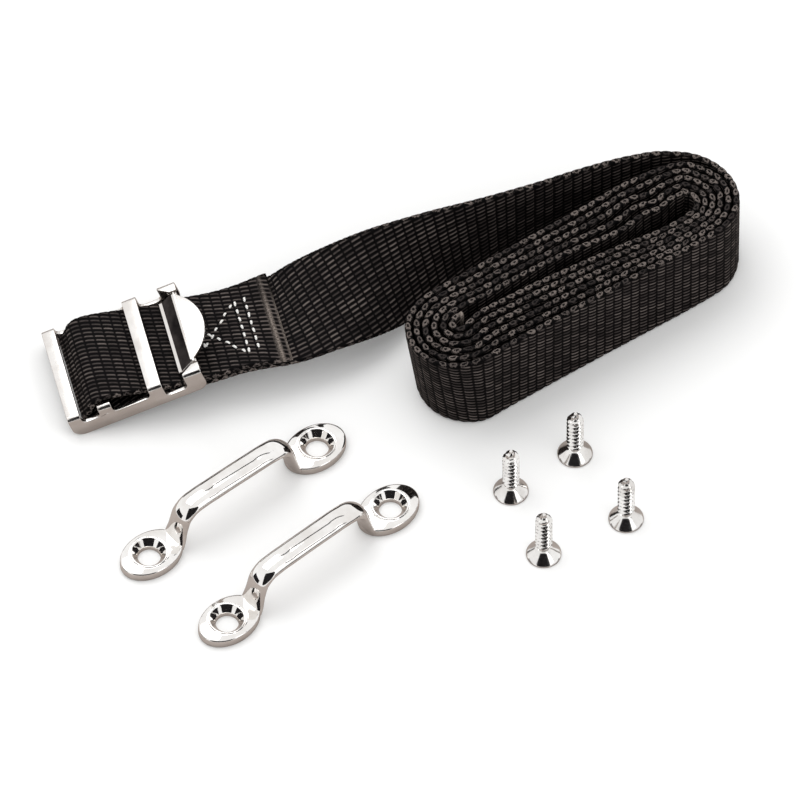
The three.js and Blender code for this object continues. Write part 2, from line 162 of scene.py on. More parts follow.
def spline(points, step):
    """Smooth curve through the points, sampled about every step along the first three columns."""
    points = np.asarray(points, float)
    chord = np.linalg.norm(np.diff(points[:, :3], axis=0), axis=1)
    at = np.concatenate([[0], np.cumsum(chord)])
    slope = np.gradient(points, at, axis=0)
    out = []
    for i, length in enumerate(chord):
        count = max(2, int(math.ceil(length / step)))
        t = (np.arange(count) / count)[:, None]
        out.append(points[i] * (2 * t**3 - 3 * t**2 + 1) + points[i + 1] * (3 * t**2 - 2 * t**3)
                   + length * (slope[i] * (t**3 - 2 * t**2 + t) + slope[i + 1] * (t**3 - t**2)))
    return np.vstack([*out, points[-1:]])


def resample(line, step):
    """The same line at even steps, and the distance along it at each point."""
    at = np.concatenate([[0], np.cumsum(np.linalg.norm(np.diff(line[:, :3], axis=0), axis=1))])
    even = np.arange(0, at[-1], step)
    return np.column_stack([np.interp(even, at, line[:, c]) for c in range(line.shape[1])]), even


def turn_angles(count):
    """Angles of evenly spaced points round a full turn."""
    return np.arange(count) * 2 * math.pi / count


def sweep_rings(path, radius, sides):
    """Rings of a round wire along a path, turned as little as possible from one to the next."""
    travel = unit(np.gradient(path, axis=0))
    side = unit(np.cross(travel[0], (0.3, 0.5, 0.8)))
    angle = turn_angles(sides)
    rings = []
    for point, direction in zip(path, travel):
        side = unit(side - direction * (side @ direction))
        other = np.cross(direction, side)
        rings.append(point + radius * (np.outer(np.cos(angle), side) + np.outer(np.sin(angle), other)))
    return np.vstack(rings)


def rotated(points, heading, at):
    """Plan rotation by heading, then a move to a place on the layout."""
    points = np.asarray(points, float)
    c, s = math.cos(heading), math.sin(heading)
    return np.column_stack([
        points[:, 0] * c - points[:, 1] * s + at[0],
        points[:, 0] * s + points[:, 1] * c + at[1],
        points[:, 2],
    ])


def buckle_points(uvw):
    """From the buckle's own (along, across, up) to the layout: pitch up, then heading."""
    u, v, w = np.asarray(uvw, float).T
    c, s = math.cos(BUCKLE_PITCH), math.sin(BUCKLE_PITCH)
    pitched = np.column_stack([u * c - w * s, v, BUCKLE_HEIGHT + u * s + w * c])
    return rotated(pitched, BUCKLE_HEADING, BUCKLE_AT)


def join_solids(base, *others, operation="UNION"):
    """Adds the others to base, or takes them away, and removes them."""
    for other in others:
        step = base.modifiers.new("solid", "BOOLEAN")
        step.operation = operation
        step.solver = "EXACT"
        step.object = other
    bpy.context.view_layer.update()
    evaluated = base.evaluated_get(bpy.context.evaluated_depsgraph_get())
    joined = bpy.data.meshes.new_from_object(evaluated)
    base.modifiers.clear()
    base.data = joined
    for other in others:
        bpy.data.objects.remove(other)
    return base


# ---- Materials ----------------------------------------------------------------------------------


class Nodes:
    """Short hand for building one material's node tree."""

    def __init__(self, name):
        self.material = bpy.data.materials.new(name)
        self.material.use_nodes = True
        self.tree = self.material.node_tree
        self.shader = self.tree.nodes["Principled BSDF"]

    def add(self, kind, inputs=None, **settings):
        node = self.tree.nodes.new("ShaderNode" + kind)
        for key, value in settings.items():
            setattr(node, key, value)
        for key, value in (inputs or {}).items():
            self.put(node.inputs[key], value)
        return node

    def put(self, socket, value):
        if isinstance(value, bpy.types.NodeSocket):
            self.tree.links.new(value, socket)
        else:
            socket.default_value = value

    def ramp(self, value, stops):
        node = self.add("ValToRGB", {0: value})
        elements = node.color_ramp.elements
        while len(elements) < len(stops):
            elements.new(0.5)
        for element, (place, colour) in zip(elements, stops):
            element.position = place
            element.color = (*colour, 1)
        return node.outputs["Color"]

    def noise(self, coordinate, scale, detail=4, roughness=0.55):
        return self.add("TexNoise", {
            "Vector": coordinate, "Scale": scale, "Detail": detail, "Roughness": roughness,
        }).outputs["Fac"]

    def range(self, value, low, high):
        return self.add("MapRange", {"Value": value, "To Min": low, "To Max": high}).outputs["Result"]

    def math(self, operation, a, b=0.0):
        return self.add("Math", {0: a, 1: b}, operation=operation).outputs[0]

    def fade(self, value, low, high):
        """1 up to low, then smoothly down to 0 at high."""
        return self.add("MapRange", {
            "Value": value, "From Min": low, "From Max": high, "To Min": 1.0, "To Max": 0.0,
        }, interpolation_type="SMOOTHSTEP").outputs["Result"]

    def attribute(self, name):
        return self.add("Attribute", attribute_name=name).outputs["Fac"]

    def chance(self, a, b=0.0):
        """A fixed random value for each pair of whole numbers."""
        pair = self.add("CombineXYZ", {"X": a, "Y": b}).outputs[0]
        return self.add("TexWhiteNoise", {"Vector": pair}, noise_dimensions="3D").outputs["Value"]

    def mix(self, factor, a, b):
        node = self.add("Mix", data_type="RGBA")
        self.put(node.inputs["Factor"], factor)
        self.put(node.inputs["A"], a)
        self.put(node.inputs["B"], b)
        return node.outputs["Result"]

    def bump(self, height, strength, distance):
        return self.add("Bump", {
            "Height": height, "Strength": strength, "Distance": distance,
        }).outputs["Normal"]

    def finish(self, **inputs):
        for key, value in inputs.items():
            self.put(self.shader.inputs[key.replace("_", " ")], value)
        return self.material


def plated_metal(name, colour, dark, low, high, speckle):
    """Plated metal: faint blotches in the colour, uneven gloss and fine pits in the plating. The blotches
    are staining on the bright metals and painted reflection on the dark cam face.
    """
    n = Nodes(name)
    place = n.add("TexCoord").outputs["Object"]
    stain_and_reflection_blotches = n.noise(place, 160, 6)
    tone = n.ramp(stain_and_reflection_blotches, [(0.32, dark), (0.62, colour)])
    gloss = n.range(n.noise(place, 420, 5), low, high)
    pits = n.noise(place, 2600, 3, 0.7)
    waves = n.noise(place, 240, 2)
    height = n.math("ADD", n.math("MULTIPLY", pits, speckle), waves)
    return n.finish(Base_Color=tone, Metallic=1.0, Roughness=gloss,
                    Normal=n.bump(height, 0.12, 0.00012))


def float_relief_and_highlights(n, rib, off_middle, across):
    """Long thin floats in rows along the strap, each rib half a row over from the one before. The value
    is both the floats' relief and their painted highlight, with painted shade in the gaps.
    """
    parity = n.math("MODULO", n.math("ADD", rib, n.math("ROUND", n.attribute("flip"))), 2.0)
    rows = n.math("DIVIDE", n.math("ADD", across, FACE_HALF), ROW_WIDTH)
    rows = n.math("SUBTRACT", rows, n.math("MULTIPLY", parity, 0.5))
    rows = n.math("SUBTRACT", rows, n.math("MULTIPLY", off_middle, 0.5))
    row = n.math("FLOOR", rows)
    from_ridge = n.math("ABSOLUTE", n.math("SUBTRACT", n.math("SUBTRACT", rows, row), 0.5))
    from_middle = n.math("ABSOLUTE", off_middle)
    relief_and_painted_light = n.math("MULTIPLY", n.fade(from_ridge, 0.04, 0.42), n.fade(from_middle, 0.33, 0.56))
    return n.math("MULTIPLY", relief_and_painted_light, n.range(n.chance(rib, row), 0.62, 0.95))


def rim_loop_relief_and_highlights(n, rib, off_middle, grain):
    """One small loop of yarn for each rib along the edges: a painted highlight round a hollow in painted
    shade.
    """
    slant_spread, stretch, raggedness, ring_radius = 2.4, 2.1, 2.2, 0.62
    slant = n.math("MULTIPLY", n.math("SUBTRACT", n.chance(rib, 3.0), 0.5), slant_spread)
    turn = n.math("ADD", n.attribute("turn"), n.math("MULTIPLY", off_middle, slant))
    along = n.math("MULTIPLY", off_middle, stretch)
    from_hollow = n.math("SQRT", n.math("ADD", n.math("MULTIPLY", along, along),
                                        n.math("MULTIPLY", turn, turn)))
    ragged = n.math("MULTIPLY", n.math("SUBTRACT", grain, 0.5), raggedness)
    from_hollow = n.math("ADD", from_hollow, ragged)
    off_ring = n.math("ABSOLUTE", n.math("SUBTRACT", from_hollow, ring_radius))
    return n.math("MULTIPLY", n.fade(off_ring, 0.1, 0.4), n.range(n.chance(rib, 9.0), 0.55, 1.25))


def webbing_material():
    """Black woven webbing. Its lay map is (along, across) in millimetres; rim and turn place the loops
    along its edges, flip tells its two faces apart and fused marks the heat-sealed ends. The floats and
    edge loops are painted light as painted highlights, and the gaps and hollows near black as painted
    shade."""
    n = Nodes("black_webbing")
    fused = n.attribute("fused")
    lay = n.add("UVMap", uv_map="lay").outputs["UV"]
    split = n.add("SeparateXYZ", {0: lay})
    ribs = n.math("DIVIDE", split.outputs["X"], RIB)
    rib = n.math("FLOOR", ribs)
    off_middle = n.math("SUBTRACT", n.math("SUBTRACT", ribs, rib), 0.5)
    stretched = n.add("Mapping", {"Vector": lay, "Scale": (0.9, 9.0, 1.0)}).outputs["Vector"]
    fibres = n.noise(stretched, 1.0, 3)
    patches = n.noise(lay, 0.16, 3)
    grain = n.noise(lay, 2.6, 5, 0.7)
    floats = n.math("MULTIPLY", float_relief_and_highlights(n, rib, off_middle, split.outputs["Y"]),
                    n.range(fibres, 0.6, 1.35))
    relief_and_painted_light = n.mix(n.attribute("rim"), floats, rim_loop_relief_and_highlights(n, rib, off_middle, grain))
    relief_and_painted_light = n.math("MULTIPLY", relief_and_painted_light, n.range(patches, 0.75, 1.25))
    # Painted light: high values, the tops of floats and edge loops, take the brown-grey of painted
    # highlights; low values, the gaps, take near black as painted shade.
    yarn = n.ramp(relief_and_painted_light, [
        (0.0, (0.0014, 0.0011, 0.0013)), (0.3, (0.0045, 0.0036, 0.0036)),
        (0.62, (0.034, 0.028, 0.0265)), (1.0, (0.15, 0.126, 0.114)),
    ])
    scorched = n.ramp(grain, [(0.36, (0.03, 0.022, 0.018)), (0.64, (0.34, 0.29, 0.255))])
    colour = n.mix(fused, yarn, scorched)
    height = n.math("ADD", relief_and_painted_light, n.math("MULTIPLY", fused, grain))
    return n.finish(Base_Color=colour, Roughness=n.range(fibres, 0.55, 0.8),
                    Specular_IOR_Level=0.06, Normal=n.bump(height, 0.5, 0.00012))


def thread_material():
    """White bonded sewing thread, with the slant of its twist."""
    n = Nodes("white_thread")
    place = n.add("TexCoord").outputs["Object"]
    twist = n.add("TexWave", {
        "Vector": place, "Scale": 900, "Distortion": 1.5, "Detail": 2,
    }, bands_direction="DIAGONAL").outputs["Fac"]
    tone = n.ramp(twist, [(0.15, (0.62, 0.6, 0.56)), (0.6, (0.93, 0.92, 0.9))])
    return n.finish(Base_Color=tone, Roughness=0.6, Normal=n.bump(twist, 0.4, 0.00006))


CHROME = plated_metal("polished_chrome", (0.93, 0.915, 0.895), (0.8, 0.77, 0.74), 0.03, 0.09, 0.1)
NICKEL = plated_metal("bright_nickel", (0.86, 0.835, 0.81), (0.72, 0.68, 0.645), 0.12, 0.26, 0.5)
# Near-black, mottled plating for the lever's slanted face: painted reflection of the black webbing it
# faces.
CAM_FACE_PAINTED_REFLECTION = plated_metal("cam_face_painted_reflection", (0.07, 0.06, 0.057), (0.01, 0.008, 0.009), 0.3, 0.6, 1.5)
STEEL = plated_metal("zinc_plated_steel", (0.88, 0.865, 0.845), (0.7, 0.675, 0.65), 0.07, 0.17, 0.3)
WEBBING = webbing_material()
THREAD = thread_material()

# ---- Webbing: its path --------------------------------------------------------------------------

CUT_END = 31.6             # where the upper layer ends, from the buckle's middle bar

# Centre line of the upper layer from the cut end to the anchor bar, (along, up).
UPPER = [(CUT_END, 12.35), (30, 12.08), (25, 11.38), (20, 10.78), (15.5, 10.28), (11, 9.9), (5, 9.65),
         (-3, 9.7), (-6.6, 10.1), (-10.5, 10.42)]
# Slack bend round the anchor bar.
BEND = [(-13.1, 10.4), (-15.5, 9.85), (-17.0, 8.6), (-17.8, 6.95), (-18.75, 4.9), (-19.65, 3.4),
        (-19.5, 2.2), (-18.2, 1.85), (-15.6, 2.45), (-12.1, 3.68), (-8.3, 5.2)]
# Centre line of the lower layer from the bend back to the seam.
LOWER = [(-3.2, 6.98), (5, 7.93), (11, 8.22), (20, 9.1), (25, 9.7)]
# The same layer where it leaves the seam.
LEAD_OUT = [(30.5, 10.42), (33, 10.85)]
# Roll of both layers: the far edge dips beside the buckle and lifts at the seam, (along, degrees).
SEAM_ROLL = [(-20, 0), (11, 0), (18, -4), (24, -2), (29, 4), (35, 8)]
# Free stretch from the seam to the coil: (x, y, z, roll), as the CAD has it.
RUN = [(-20, 18.5, 12.6, 15), (-10, 23.4, 12.8, 31), (0, 29.2, 12.0, 53), (10, 34.6, 12.2, 70),
       (20, 39.5, 12.5, 82), (32, 45.1, 12.5, 89), (44, 50.0, 12.5, 90), (55, 53.5, 12.5, 90),
       (61, 54.7, 12.5, 90)]
ENTRY = {"s": 59.2, "d": 12.9, "radius": 16.0, "angle": 55}
RIGHT_END = {"s": 62.3, "d": 12.9, "radius": 12.9}
LEFT_END = {"s": -2.4, "d": 12.4, "radius": 12.4}
# Where the turns after the first pass under the incoming stretch, as the outer face would lie.
SHOULDER = [(56.7, 27.55), (62.5, 26.6), (67.0, 25.2), (70.05, 23.5), (72.3, 20.55), (74.2, 16.9)]
# Pitch of those turns at each of these points.
SHOULDER_PITCH = (2.3, 2.1, 1.97, 1.95, 1.95, 1.95)
# Slack of the inner turns along the coil's back: how deep, round which place, how far each way.
BACK_SLACK = {"depth": 1.3, "s": 48, "reach": 13, "behind": 20}
COIL_LEAN = 0.14           # outward lean of the coil's left end, for each millimetre of height
FLOOR_GAP = 0.03           # least height of the webbing above the surface
TURNS = 6                  # the last one stops once it is round the left end
INNER_END = (-0.3, 14.95)


def seam_roll(along):
    places, rolls = zip(*SEAM_ROLL)
    return np.interp(along, places, rolls)


def head_point(along, up):
    """(x, y, z, roll) of a place on the sewn end."""
    x, y, z = rotated([(along, 0, up)], BUCKLE_HEADING, BUCKLE_AT)[0]
    return (x, y, z, seam_roll(along))


def arc(cx, cy, radius, first, last, count):
    angles = np.radians(np.linspace(first, last, count))
    return np.column_stack([cx + radius * np.cos(angles), cy + radius * np.sin(angles)])


def coil_outline(first):
    """Outer face of one turn in the coil's own plan, clockwise from the back right, and the pitch of
    the turns inside each of its points. The first turn starts on the arc that brings the strap in."""
    right, left = RIGHT_END, LEFT_END
    entry = arc(ENTRY["s"], ENTRY["d"], ENTRY["radius"], ENTRY["angle"], 6, 10)
    parts = [
        (entry, (1.95,)) if first else (np.array(SHOULDER), SHOULDER_PITCH),
        (arc(right["s"], right["d"], right["radius"], 0, -90, 16), (1.98, 1.85, 1.64)),
        (np.array([(52, -0.15), (43, -0.1), (30, 0), (12, 0), (0, 0)]), (1.55, 1.77, 2.0, 2.26, 2.2)),
        (arc(left["s"], left["d"], left["radius"], -90, -270, 22), (2.05, 2.0, 1.8)),
        (np.array([(8, 24.85), (13, 24.95), (30, 25.1), (44, 25.35), (51, 25.6)]),
         (1.88, 1.9, 2.05, 2.26, 2.2)),
    ]
    points = np.vstack([p for p, _ in parts])
    pitch = np.concatenate([
        np.interp(np.linspace(0, 1, len(p)), np.linspace(0, 1, len(q)), q) for p, q in parts])
    return points, pitch


def coil_centre_line():
    """Centre line of all the turns, from the outermost inward, in the coil's own plan."""
    line = []
    for turn in range(TURNS):
        outline, pitch = coil_outline(turn == 0)
        travel = unit(np.gradient(np.vstack([outline, SHOULDER[:1]]), axis=0)[:-1])
        inward = np.column_stack([travel[:, 1], -travel[:, 0]])
        from_deepest = (outline[:, 0] - BACK_SLACK["s"]) / BACK_SLACK["reach"]
        loose = BACK_SLACK["depth"] * smoothstep(turn, 2.5, 3.5) * np.exp(-from_deepest ** 2)
        loose *= outline[:, 1] > BACK_SLACK["behind"]
        line.append(outline + inward * ((turn + 0.5) * pitch + loose)[:, None])
    # The last turn stops behind the left end, before its own five back points.
    line[-1] = np.vstack([line[-1][:-5], [INNER_END]])
    return np.vstack(line)


def strap_line():
    """(x, y, z, roll) along the whole strap, from its cut end to the middle of the coil."""
    sewn = [head_point(*p) for p in [*UPPER, *BEND, *LOWER]]
    start = [head_point(*p) for p in LEAD_OUT]
    coil = coil_centre_line()
    turns = rotated(np.column_stack([coil, np.full(len(coil), WEB_WIDTH / 2)]), COIL_HEADING, COIL_AT)
    turns = np.column_stack([turns, np.full(len(turns), 90.0)])
    knots = np.vstack([sewn, start, RUN, turns])
    line, at = resample(spline(knots, 0.25), STEP)

    def distance_at(place):
        return at[np.argmin(np.linalg.norm(line[:, :3] - np.array(place), axis=1))]

    return line, at, distance_at(head_point(*LOWER[-1])[:3]), distance_at(turns[0, :3])


LINE, AT, SEWN_UNTIL, COIL_FROM = strap_line()


def strap_axes():
    """Travel, across and through directions at each station."""
    travel = unit(np.gradient(LINE[:, :3], axis=0))
    sewn = AT <= SEWN_UNTIL
    flat = unit(np.column_stack([-travel[:, 1], travel[:, 0], np.zeros(len(travel))]))
    flat[sewn] = (-math.sin(BUCKLE_HEADING), math.cos(BUCKLE_HEADING), 0)
    roll = np.radians(np.minimum(LINE[:, 3], 90))[:, None]
    across = flat * np.cos(roll) + np.array([0, 0, 1.0]) * np.sin(roll)
    across = unit(across - travel * np.sum(across * travel, axis=1, keepdims=True))
    return travel, across, np.cross(travel, across)


TRAVEL, ACROSS, THROUGH = strap_axes()


def lean(points):
    """The coil's round left end leans outward at its top."""
    c, s = math.cos(COIL_HEADING), math.sin(COIL_HEADING)
    along = (points[..., 0] - COIL_AT[0]) * c + (points[..., 1] - COIL_AT[1]) * s
    share = smoothstep(-along, -2, 12)
    push = -(points[..., 2] - WEB_WIDTH / 2) * COIL_LEAN * share
    return points + push[..., None] * np.array([c, s, 0])


# ---- Webbing: its woven surface -----------------------------------------------------------------

COLUMNS = ROWS * PER_ROW + 1
EDGE_ANGLES = np.radians([72, 36, 0, -36, -72])
SEALED_TAIL = 0.7          # length of the heat-sealed inner end


def strap_section():
    """Each point of the cross-section as (kind, place): the upper face, the near edge, the lower face
    and the far edge, in order round it."""
    upper = [("up", j) for j in range(COLUMNS)][::-1]
    near = [("near", k) for k in range(len(EDGE_ANGLES))]
    lower = [("down", j) for j in range(COLUMNS)]
    far = [("far", k) for k in range(len(EDGE_ANGLES))][::-1]
    return upper + near + lower + far


def woven_face(side):
    """Across offset and height of every column of one face at every station."""
    phase = (np.arange(len(AT)) % PER_RIB) / PER_RIB
    rib = np.arange(len(AT)) // PER_RIB
    across = np.linspace(-FACE_HALF, FACE_HALF, COLUMNS)
    parity = (rib + (side < 0)) % 2
    shift = np.where(phase == 0, 0.25, 0.5 * parity + 0.42 * (phase - 0.5))
    fade = np.clip((FACE_HALF - np.abs(across)) / ROW_WIDTH, 0, 1)
    along = np.sin(math.pi * phase)[:, None] ** 0.6
    ridge = np.array([0.0, 1.0, 0.92])[np.arange(COLUMNS) % PER_ROW][None, :]
    height = EDGE + FLOAT * (0.35 + 0.65 * along) * (0.25 + 0.75 * ridge)
    return across + shift[:, None] * ROW_WIDTH * fade, height


def selvedge():
    """Radius of the five points of an edge at every station: one small loop for each rib, with a
    hollow in its middle."""
    phase = (np.arange(len(AT)) % PER_RIB) / PER_RIB
    along = np.sin(math.pi * phase)[:, None] ** 0.8
    hollow = np.exp(-((phase[:, None] - 0.5) / 0.2) ** 2) * np.exp(-(EDGE_ANGLES[None, :] / 0.6) ** 2)
    return EDGE * (0.95 + 0.28 * along * (1 - 1.4 * hollow))


def cut_end_profile():
    """Change of height and share of fused yarn near the cut end of the upper layer: a thin lower lip,
    a groove and a fused band that fades toward the far edge."""
    places = [0, 0.61, 1.22, 1.84, 2.45, 3.06]
    rise = np.interp(AT, places, [-0.75, -0.55, -0.35, 0.12, 0.2, 0])
    band = np.interp(AT, places, [0, 0, 0, 1, 0.35, 0])
    lip = np.interp(AT, places, [0.9, 0, 0, 0, 0, 0])
    return rise, band, lip


def strap_vertices():
    """Section points, their places at every station, and the values that the material reads."""
    section = strap_section()
    faces = {"up": woven_face(1), "down": woven_face(-1)}
    radius = selvedge()
    rise, band, lip = cut_end_profile()
    shape = (len(AT), len(section))
    offset, thick, fused, rim, turn, flip = (np.zeros(shape) for _ in range(6))
    for index, (kind, place) in enumerate(section):
        if kind in faces:
            sign = 1 if kind == "up" else -1
            across, height = faces[kind]
            offset[:, index] = across[:, place]
            # The upper layer's outer face is the one that faces down along its travel.
            thick[:, index] = sign * (height[:, place] + (rise if kind == "down" else 0))
            turn[:, index] = sign
            flip[:, index] = kind == "down"
        else:
            angle = EDGE_ANGLES[place]
            sign = 1 if kind == "far" else -1
            r = radius[:, place]
            offset[:, index] = sign * (FACE_HALF + r * math.cos(angle))
            thick[:, index] = r * math.sin(angle)
            turn[:, index] = math.sin(angle)
            rim[:, index] = 1
        nearness = smoothstep(-offset[:, index], -10, 0)
        fused[:, index] = np.maximum(band * (0.3 + 0.7 * nearness), lip * nearness)
        fused[:, index] = np.maximum(fused[:, index], AT > AT[-1] - SEALED_TAIL)
    points = (LINE[:, None, :3] + ACROSS[:, None, :] * offset[..., None]
              + THROUGH[:, None, :] * thick[..., None])
    # A station that would dip into the surface is lifted clear of it.
    points[..., 2] += np.clip(FLOOR_GAP - points[..., 2].min(axis=1), 0, None)[:, None]
    values = {"fused": fused, "rim": rim, "turn": turn, "flip": flip}
    return section, lean(points), offset, values


def strap_layouts(section):
    """Which section points each station keeps: all of them where both faces show, the outer face and
    the edges on the coil's outermost turn, and little but the edges on the turns inside it."""
    def chosen(up_every, down_every):
        return [i for i, (kind, j) in enumerate(section)
                if kind in ("near", "far")
                or (kind == "up" and (j % up_every == 0 or j == COLUMNS - 1))
                or (kind == "down" and (j % down_every == 0 or j == COLUMNS - 1))]
    full, outer, inner = chosen(1, 1), chosen(15, 1), chosen(20, 20)
    outline, _ = coil_outline(True)
    first_turn = np.linalg.norm(np.diff(outline, axis=0), axis=1).sum()
    outer_from = COIL_FROM + 4
    inner_from = COIL_FROM + first_turn + 3
    return [full if a < outer_from else outer if a < inner_from else inner for a in AT]


def build_strap():
    section, points, offset, values = strap_vertices()
    layouts = strap_layouts(section)
    kept = [(i, j) for i, layout in enumerate(layouts) for j in layout]
    number = {place: k for k, place in enumerate(kept)}
    stations, places = np.array(kept).T
    faces = []
    for i in range(len(layouts) - 1):
        a, b = layouts[i], layouts[i + 1]
        if a is b:
            faces += [(number[i, p], number[i, q], number[i + 1, q], number[i + 1, p])
                      for p, q in zip(a, a[1:] + a[:1])]
            continue
        # Where the layout changes, one many-sided face spans each gap between shared points.
        shared = sorted(set(a) & set(b))
        for p, q in zip(shared, shared[1:] + [shared[0] + len(section)]):
            first = [number[i, j] for j in [*a, *[x + len(section) for x in a]]
                     if p <= j <= q and (i, j) in number]
            first += [number[i, q % len(section)]] if q >= len(section) else []
            second = [number[i + 1, j] for j in b if p <= j <= q]
            second += [number[i + 1, q % len(section)]] if q >= len(section) else []
            faces.append((*first, *second[::-1]))
    last = len(layouts) - 1
    faces.append(tuple(number[0, j] for j in layouts[0])[::-1])
    faces.append(tuple(number[last, j] for j in layouts[last]))
    strap = make_object("webbing_strap", points[stations, places], faces, WEBBING)
    for name, value in values.items():
        attribute = strap.data.attributes.new(name, "FLOAT", "POINT")
        attribute.data.foreach_set("value", value[stations, places].astype(np.float32))
    uv = strap.data.uv_layers.new(name="lay")
    corner = np.zeros(len(strap.data.loops), np.int32)
    strap.data.loops.foreach_get("vertex_index", corner)
    lay = np.column_stack([AT[stations], offset[stations, places]]).astype(np.float32)
    uv.data.foreach_set("uv", lay[corner].ravel())
    return strap


# ---- Seam thread --------------------------------------------------------------------------------

RANDOM = np.random.default_rng(11)
STITCH = {"length": 1.45, "width": 0.6, "height": 0.36, "pitch": 2.3}
# Rows of the box-and-cross seam as (along, across) ends.
SEAM_ROWS = [
    ((24.8, 8.3), (24.8, -8.1)),
    ((22.8, 7.9), (22.8, -8.9)),
    ((22.0, 7.2), (12.6, -3.9)),
    ((21.9, -8.4), (12.5, 2.1)),
    ((12.4, 2.2), (12.6, -4.0)),
]


def station_at(along, upper=True):
    """Station of the upper or lower layer that lies over a place along the sewn end."""
    c, s = math.cos(BUCKLE_HEADING), math.sin(BUCKLE_HEADING)
    reach = (LINE[:, 0] - BUCKLE_AT[0]) * c + (LINE[:, 1] - BUCKLE_AT[1]) * s
    turn = np.argmin(np.where(AT < SEWN_UNTIL, reach, 1e9))
    span = slice(0, turn) if upper else slice(turn, None)
    return (0 if upper else turn) + int(np.argmin(np.abs(reach[span] - along)))


def stitch(along, across, heading, upper):
    """One stitch: a thread that comes out of the webbing and goes back in, as a squat capsule."""
    i = station_at(along, upper)
    out = -THROUGH[i]
    forward = TRAVEL[i] * (-1 if upper else 1)
    centre = LINE[i, :3] + ACROSS[i] * across + out * (EDGE + FLOAT * 0.62)
    direction = forward * math.cos(heading) + ACROSS[i] * math.sin(heading)
    side = np.cross(out, direction)
    turn = RANDOM.uniform(-0.16, 0.16)
    direction, side = (direction * math.cos(turn) + side * math.sin(turn),
                       side * math.cos(turn) - direction * math.sin(turn))
    length = STITCH["length"] * RANDOM.uniform(0.86, 1.12)
    rings, sides = 9, 10
    angle = turn_angles(sides)
    points = []
    for t in np.linspace(-0.94, 0.94, rings):
        swell = math.sqrt(1 - t * t) ** 0.7
        arch = STITCH["height"] * (0.35 - 0.75 * t * t)
        middle = centre + direction * (t * length / 2) + out * arch
        points.append(middle + swell * (np.outer(np.cos(angle), side) * STITCH["width"] / 2
                                        + np.outer(np.sin(angle), out) * STITCH["height"] / 2))
    return np.vstack(points), loft_faces(rings, sides)


def build_stitches():
    points, faces, count = [], [], 0
    for upper in (True, False):
        for (a0, c0), (a1, c1) in SEAM_ROWS:
            length = math.hypot(a1 - a0, c1 - c0)
            heading = math.atan2(c1 - c0, a1 - a0)
            steps = int(round(length / STITCH["pitch"]))
            for k in range(steps):
                t = (k + 0.5) / steps
                p, f = stitch(a0 + (a1 - a0) * t, c0 + (c1 - c0) * t, heading, upper)
                points.append(p)
                faces += [tuple(i + count for i in face) for face in f]
                count += len(p)
    return make_object("seam_stitches", np.vstack(points), faces, THREAD)


# ---- Buckle -------------------------------------------------------------------------------------


MERGE_DISTANCE = 2e-6
ROUNDING_SEGMENTS = 3
ROUNDED_FROM = math.radians(32)
# Outward direction of the lever's slanted plate, in the buckle's own axes, and how near a face's
# normal must be to it, as a cosine, for that face to take the painted reflection.
CAM_FACE_OUT = (-0.6, 0, 0.8)
CAM_FACE_COSINE = 0.93


def refined(node, name, material, width):
    """A finer copy of a stamped CAD part: coplanar faces merged and every edge rounded over."""
    obj = bpy.data.objects.new(name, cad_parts[node].data.copy())
    bpy.context.scene.collection.objects.link(obj)
    obj.data.materials.clear()
    obj.data.materials.append(material)
    bm = bmesh.new()
    bm.from_mesh(obj.data)
    bmesh.ops.remove_doubles(bm, verts=bm.verts, dist=MERGE_DISTANCE)
    bmesh.ops.dissolve_limit(bm, angle_limit=math.radians(1), verts=bm.verts, edges=bm.edges)
    bm.to_mesh(obj.data)
    bm.free()
    rounding = obj.modifiers.new("rounding", "BEVEL")
    rounding.width = width * MM
    rounding.segments = ROUNDING_SEGMENTS
    rounding.limit_method = "ANGLE"
    rounding.angle_limit = ROUNDED_FROM
    rounding.use_clamp_overlap = False
    rounding.miter_outer = "MITER_ARC"
    bpy.context.view_layer.update()
    evaluated = obj.evaluated_get(bpy.context.evaluated_depsgraph_get())
    rounded = bpy.data.meshes.new_from_object(evaluated)
    obj.modifiers.clear()
    obj.data = rounded
    shade(obj, 38)
    return obj


def paint_cam_face_reflection(lever):
    """The slanted plate between the thumb tab and the gripping lip gets a dark, rougher plating: painted
    reflection of the black webbing it faces.
    """
    toward = (buckle_points([CAM_FACE_OUT]) - buckle_points([(0, 0, 0)]))[0]
    lever.data.materials.append(CAM_FACE_PAINTED_REFLECTION)
    for face in lever.data.polygons:
        if face.normal.dot(Vector(toward)) > CAM_FACE_COSINE:
            face.material_index = 1


def build_pin():
    """Cross pin with slightly domed ends."""
    half, radius = 13.1, 0.8
    profile = [(half, 0.32), (half - 0.06, 0.58), (half - 0.25, radius), (half - 0.6, radius)]
    stations = [(-v, r) for v, r in profile] + profile[::-1]
    sides = 32
    angle = turn_angles(sides)
    rings = [np.column_stack([PIN_AT[0] + r * np.cos(angle), np.full(sides, v),
                              PIN_AT[1] + r * np.sin(angle)]) for v, r in stations]
    return make_object("cross_pin", buckle_points(np.vstack(rings)), loft_faces(len(rings), sides),
                       STEEL, 40)


def build_spring():
    """Torsion spring: one leg under the thumb tab, turns round the pin, one leg along it."""
    radius, turns, pitch, tail, wire = 1.15, 4, 0.5, 8.8, 0.15
    u, w = PIN_AT
    count = turns * 16
    t = np.arange(count + 1) / count
    angle = math.pi / 2 + 2 * math.pi * turns * t
    winding = np.column_stack([u + radius * np.cos(angle), pitch * turns * t, w + radius * np.sin(angle)])
    end = winding[-1]
    points = np.vstack([
        [(14.2, -0.4, 6.05), (12.4, -0.4, 5.85)], winding,
        [(end[0] - 0.35, end[1] + 0.6, end[2] - 0.05), (end[0] - 0.35, tail, end[2] - 0.05)]])
    path = spline(points, 0.2)
    sides = 10
    return make_object("return_spring", buckle_points(sweep_rings(path, wire, sides)),
                       loft_faces(len(path), sides), STEEL)


# ---- Footman's loops ----------------------------------------------------------------------------

